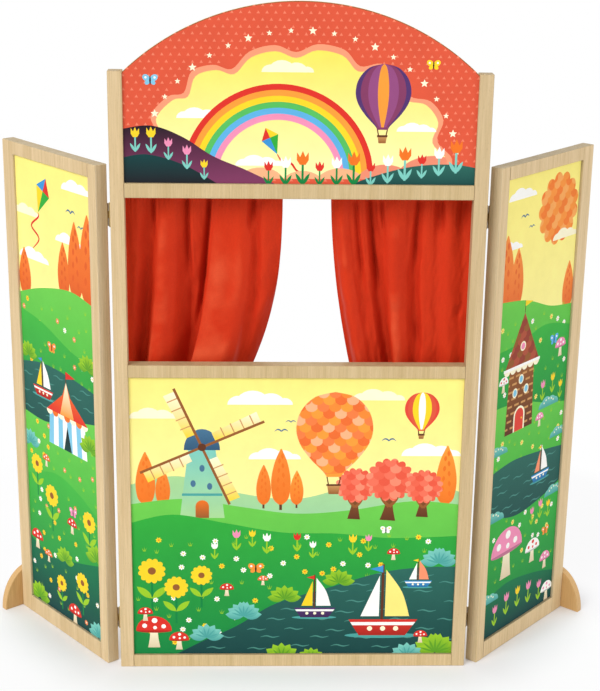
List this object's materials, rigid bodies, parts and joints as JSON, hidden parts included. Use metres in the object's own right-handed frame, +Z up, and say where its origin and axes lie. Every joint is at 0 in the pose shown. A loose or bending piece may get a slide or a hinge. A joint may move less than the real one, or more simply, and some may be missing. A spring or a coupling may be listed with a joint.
{
  "type": "puppet theater stand",
  "caption": "Folding wooden puppet theater: a centre frame with an arched top and a curtained stage opening, and lower wings hinged behind its edges.",
  "frame": {"origin": "under the middle of the centre frame's bottom rail, on the floor, halfway through the frame's thickness", "axes": "+Z up, +Y away from the audience towards the puppeteer, +X to the audience's right"},
  "size_m": [1.0502, 0.2478, 1.105],
  "materials": {
    "frame_wood": "clear matt lacquer on pale wood",
    "foot_wood": "clear matt lacquer on golden wood",
    "rod_wood": "sanded dowel",
    "printed_board": "printed board, satin",
    "arch_board": "printed board, satin",
    "curtain_satin": "satin weave",
    "hinge_brass": "satin brass",
    "screw_steel": "zinc plated"
  },
  "bodies": {
    "centre": {"post_left": "frame_wood", "post_right": "frame_wood", "bottom_rail": "frame_wood", "stage_rail": "frame_wood", "upper_rail": "frame_wood", "lower_panel": "printed_board", "arch_panel": "arch_board", "curtain_rod": "rod_wood", "rod_bracket_left": "hinge_brass", "rod_bracket_right": "hinge_brass", "rod_bracket_left_screw": "hinge_brass", "rod_bracket_right_screw": "hinge_brass", "hinge_left_upper_post_leaf": "hinge_brass", "hinge_left_upper_pin": "hinge_brass", "hinge_left_upper_post_screw_top": "hinge_brass", "hinge_left_upper_post_screw_low": "hinge_brass", "hinge_left_lower_post_leaf": "hinge_brass", "hinge_left_lower_pin": "hinge_brass", "hinge_left_lower_post_screw_top": "hinge_brass", "hinge_left_lower_post_screw_low": "hinge_brass", "hinge_right_upper_post_leaf": "hinge_brass", "hinge_right_upper_pin": "hinge_brass", "hinge_right_upper_post_screw_top": "hinge_brass", "hinge_right_upper_post_screw_low": "hinge_brass", "hinge_right_lower_post_leaf": "hinge_brass", "hinge_right_lower_pin": "hinge_brass", "hinge_right_lower_post_screw_top": "hinge_brass", "hinge_right_lower_post_screw_low": "hinge_brass"},
    "wing_left": {"wing_left_inner_stile": "frame_wood", "wing_left_outer_stile": "frame_wood", "wing_left_top_rail": "frame_wood", "wing_left_bottom_rail": "frame_wood", "wing_left_panel": "printed_board", "wing_left_foot": "foot_wood", "wing_left_foot_screw_low": "screw_steel", "wing_left_foot_screw_top": "screw_steel", "hinge_left_upper_wing_leaf": "hinge_brass", "hinge_left_upper_wing_screw_top": "hinge_brass", "hinge_left_upper_wing_screw_low": "hinge_brass", "hinge_left_lower_wing_leaf": "hinge_brass", "hinge_left_lower_wing_screw_top": "hinge_brass", "hinge_left_lower_wing_screw_low": "hinge_brass"},
    "wing_right": {"wing_right_inner_stile": "frame_wood", "wing_right_outer_stile": "frame_wood", "wing_right_top_rail": "frame_wood", "wing_right_bottom_rail": "frame_wood", "wing_right_panel": "printed_board", "wing_right_foot": "foot_wood", "wing_right_foot_screw_low": "screw_steel", "wing_right_foot_screw_top": "screw_steel", "hinge_right_upper_wing_leaf": "hinge_brass", "hinge_right_upper_wing_screw_top": "hinge_brass", "hinge_right_upper_wing_screw_low": "hinge_brass", "hinge_right_lower_wing_leaf": "hinge_brass", "hinge_right_lower_wing_screw_top": "hinge_brass", "hinge_right_lower_wing_screw_low": "hinge_brass"},
    "curtain_left_cloth": {"curtain_left": "curtain_satin"},
    "curtain_right_cloth": {"curtain_right": "curtain_satin"}
  },
  "joints": [
    {"name": "wing_left_hinge", "type": "hinge", "parent": "centre", "child": "wing_left", "pos_m": [-0.292, 0.0139, 0.4275], "axis": [0, 0, -1], "range_deg": [-51, 74]},
    {"name": "wing_right_hinge", "type": "hinge", "parent": "centre", "child": "wing_right", "pos_m": [0.292, 0.0139, 0.4275], "axis": [0, 0, 1], "range_deg": [-48, 77]},
    {"name": "curtain_left_slide", "type": "slide", "parent": "centre", "child": "curtain_left_cloth", "axis": [1, 0, 0], "range_m": [-0.13, 0.036], "deforming": ["curtain_left"]},
    {"name": "curtain_right_slide", "type": "slide", "parent": "centre", "child": "curtain_right_cloth", "axis": [1, 0, 0], "range_m": [-0.036, 0.12], "deforming": ["curtain_right"]}
  ]
}
